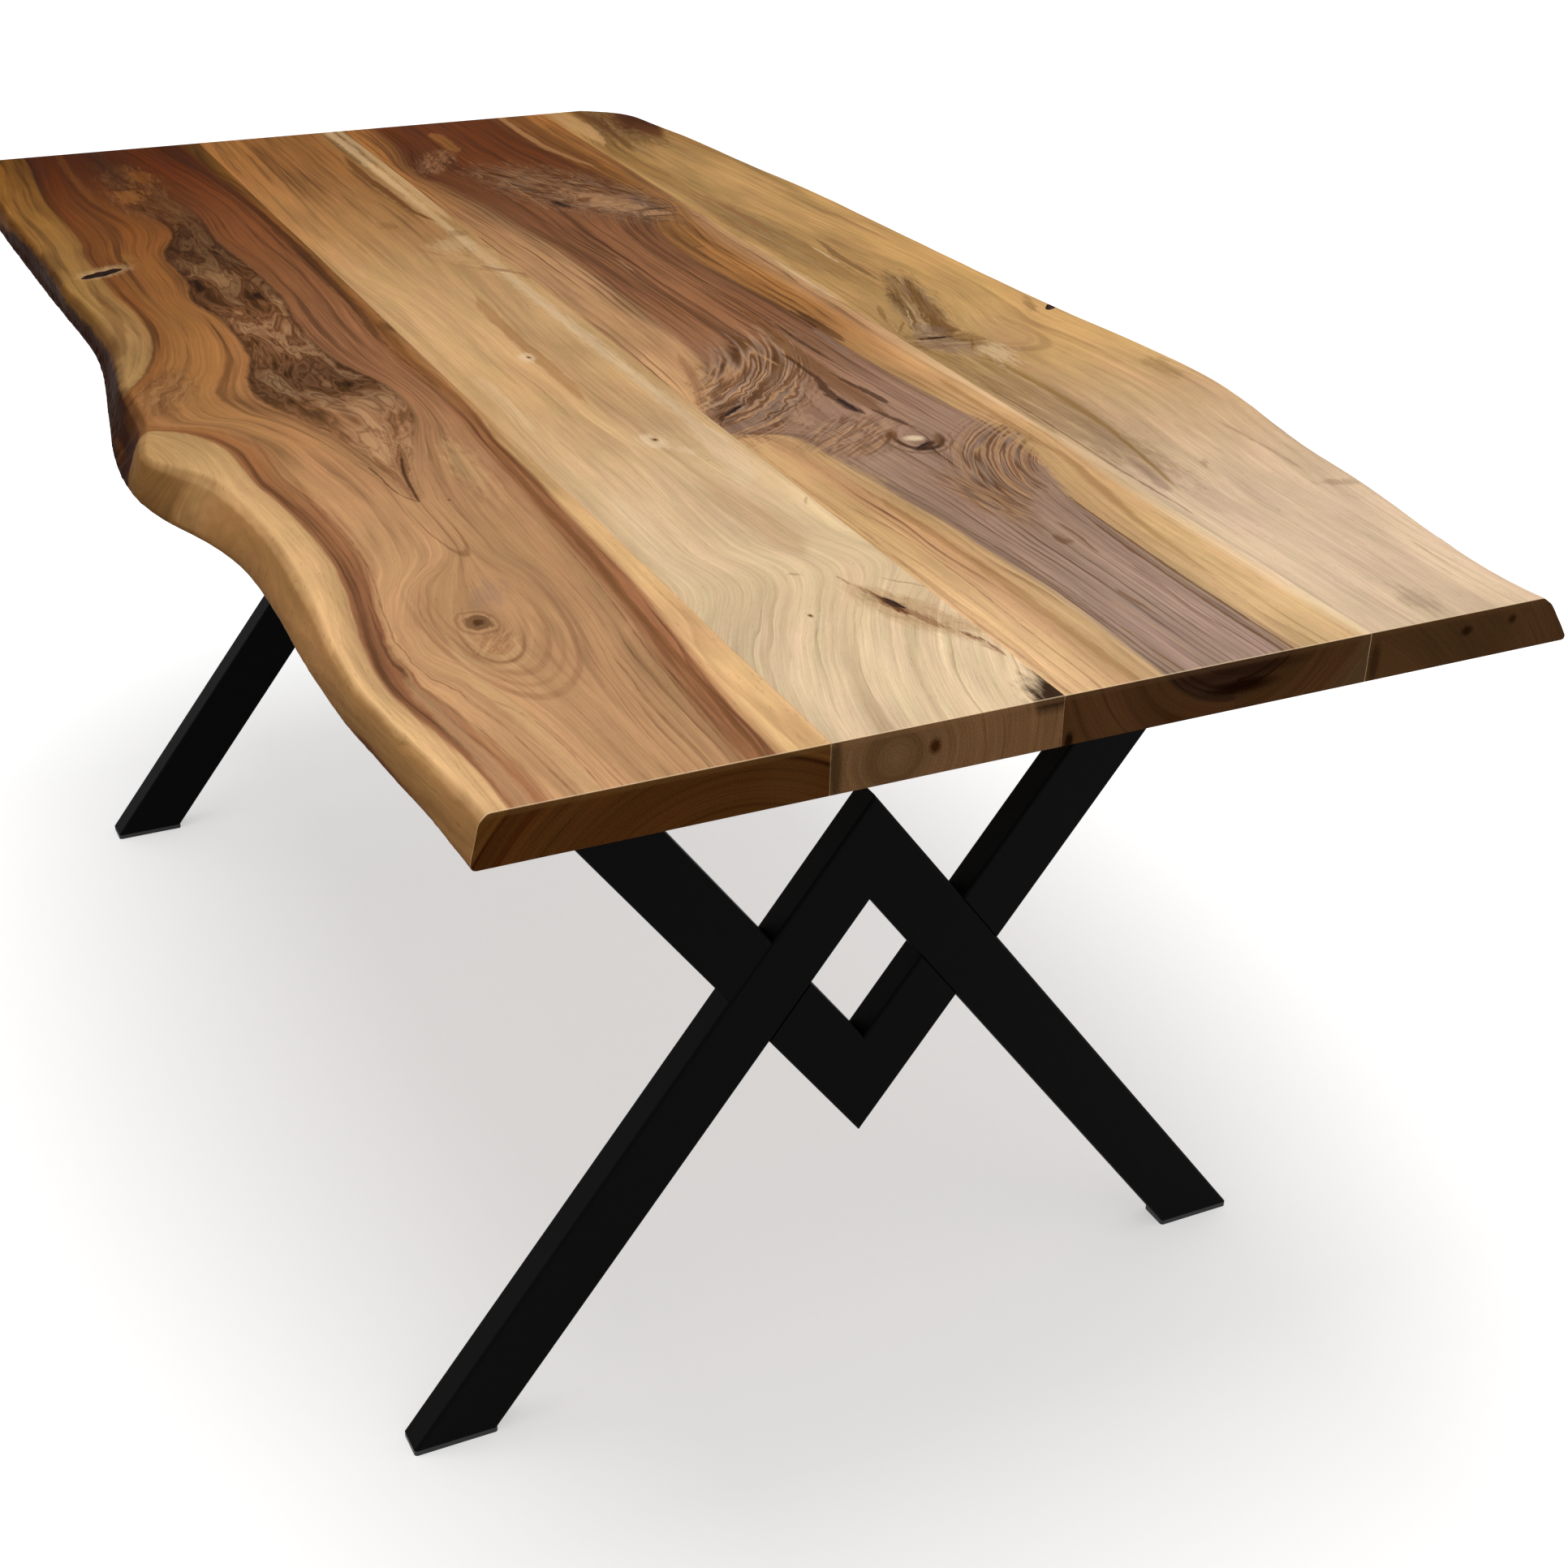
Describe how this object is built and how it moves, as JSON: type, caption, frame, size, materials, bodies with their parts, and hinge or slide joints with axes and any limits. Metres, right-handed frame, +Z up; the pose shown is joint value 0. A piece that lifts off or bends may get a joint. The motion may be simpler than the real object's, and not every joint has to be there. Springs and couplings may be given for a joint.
{
  "type": "live edge dining table",
  "caption": "Live edge walnut dining table: an edge-glued slab top with wavy natural sides, bolted to crossed black steel leg frames that stand on plastic foot caps.",
  "frame": {"origin": "on the floor, under the middle of the top's overall length and width", "axes": "+X runs along the grain to the near end, -Y is the front live edge and +Y the rear one, +Z is up"},
  "size_m": [1.7, 0.9797, 0.765],
  "materials": {
    "walnut_front_live": "satin oil, brown heartwood with a pale sapwood edge",
    "walnut_front_inner": "satin oil, pale tan sapwood",
    "walnut_rear_inner": "satin oil, dark purple-brown heartwood between tan bands",
    "walnut_rear_live": "satin oil, olive-tan sapwood",
    "beech_tenon": "bare compressed beech",
    "black_powder_coat": "matt black powder coat on welded steel box section",
    "black_nylon": "moulded black nylon",
    "black_oxide_steel": "black oxide, lightly oiled",
    "zinc_plated_steel": "bright zinc plate",
    "brass_insert": "turned brass"
  },
  "bodies": {
    "root": {"board_front_live": "walnut_front_live", "board_front_inner": "walnut_front_inner", "board_rear_inner": "walnut_rear_inner", "board_rear_live": "walnut_rear_live", "tenons_front_seam": "beech_tenon", "tenons_middle_seam": "beech_tenon", "tenons_rear_seam": "beech_tenon", "mounting_plate_near": "black_powder_coat", "long_bar_near_front": "black_powder_coat", "upper_short_bar_near_front": "black_powder_coat", "lower_short_bar_near_front": "black_powder_coat", "foot_cap_near_front": "black_nylon", "long_bar_near_rear": "black_powder_coat", "upper_short_bar_near_rear": "black_powder_coat", "lower_short_bar_near_rear": "black_powder_coat", "foot_cap_near_rear": "black_nylon", "frame_bolts_near": "black_oxide_steel", "frame_washers_near": "zinc_plated_steel", "threaded_inserts_near": "brass_insert", "mounting_plate_far": "black_powder_coat", "long_bar_far_front": "black_powder_coat", "upper_short_bar_far_front": "black_powder_coat", "lower_short_bar_far_front": "black_powder_coat", "foot_cap_far_front": "black_nylon", "long_bar_far_rear": "black_powder_coat", "upper_short_bar_far_rear": "black_powder_coat", "lower_short_bar_far_rear": "black_powder_coat", "foot_cap_far_rear": "black_nylon", "frame_bolts_far": "black_oxide_steel", "frame_washers_far": "zinc_plated_steel", "threaded_inserts_far": "brass_insert"}
  },
  "joints": []
}
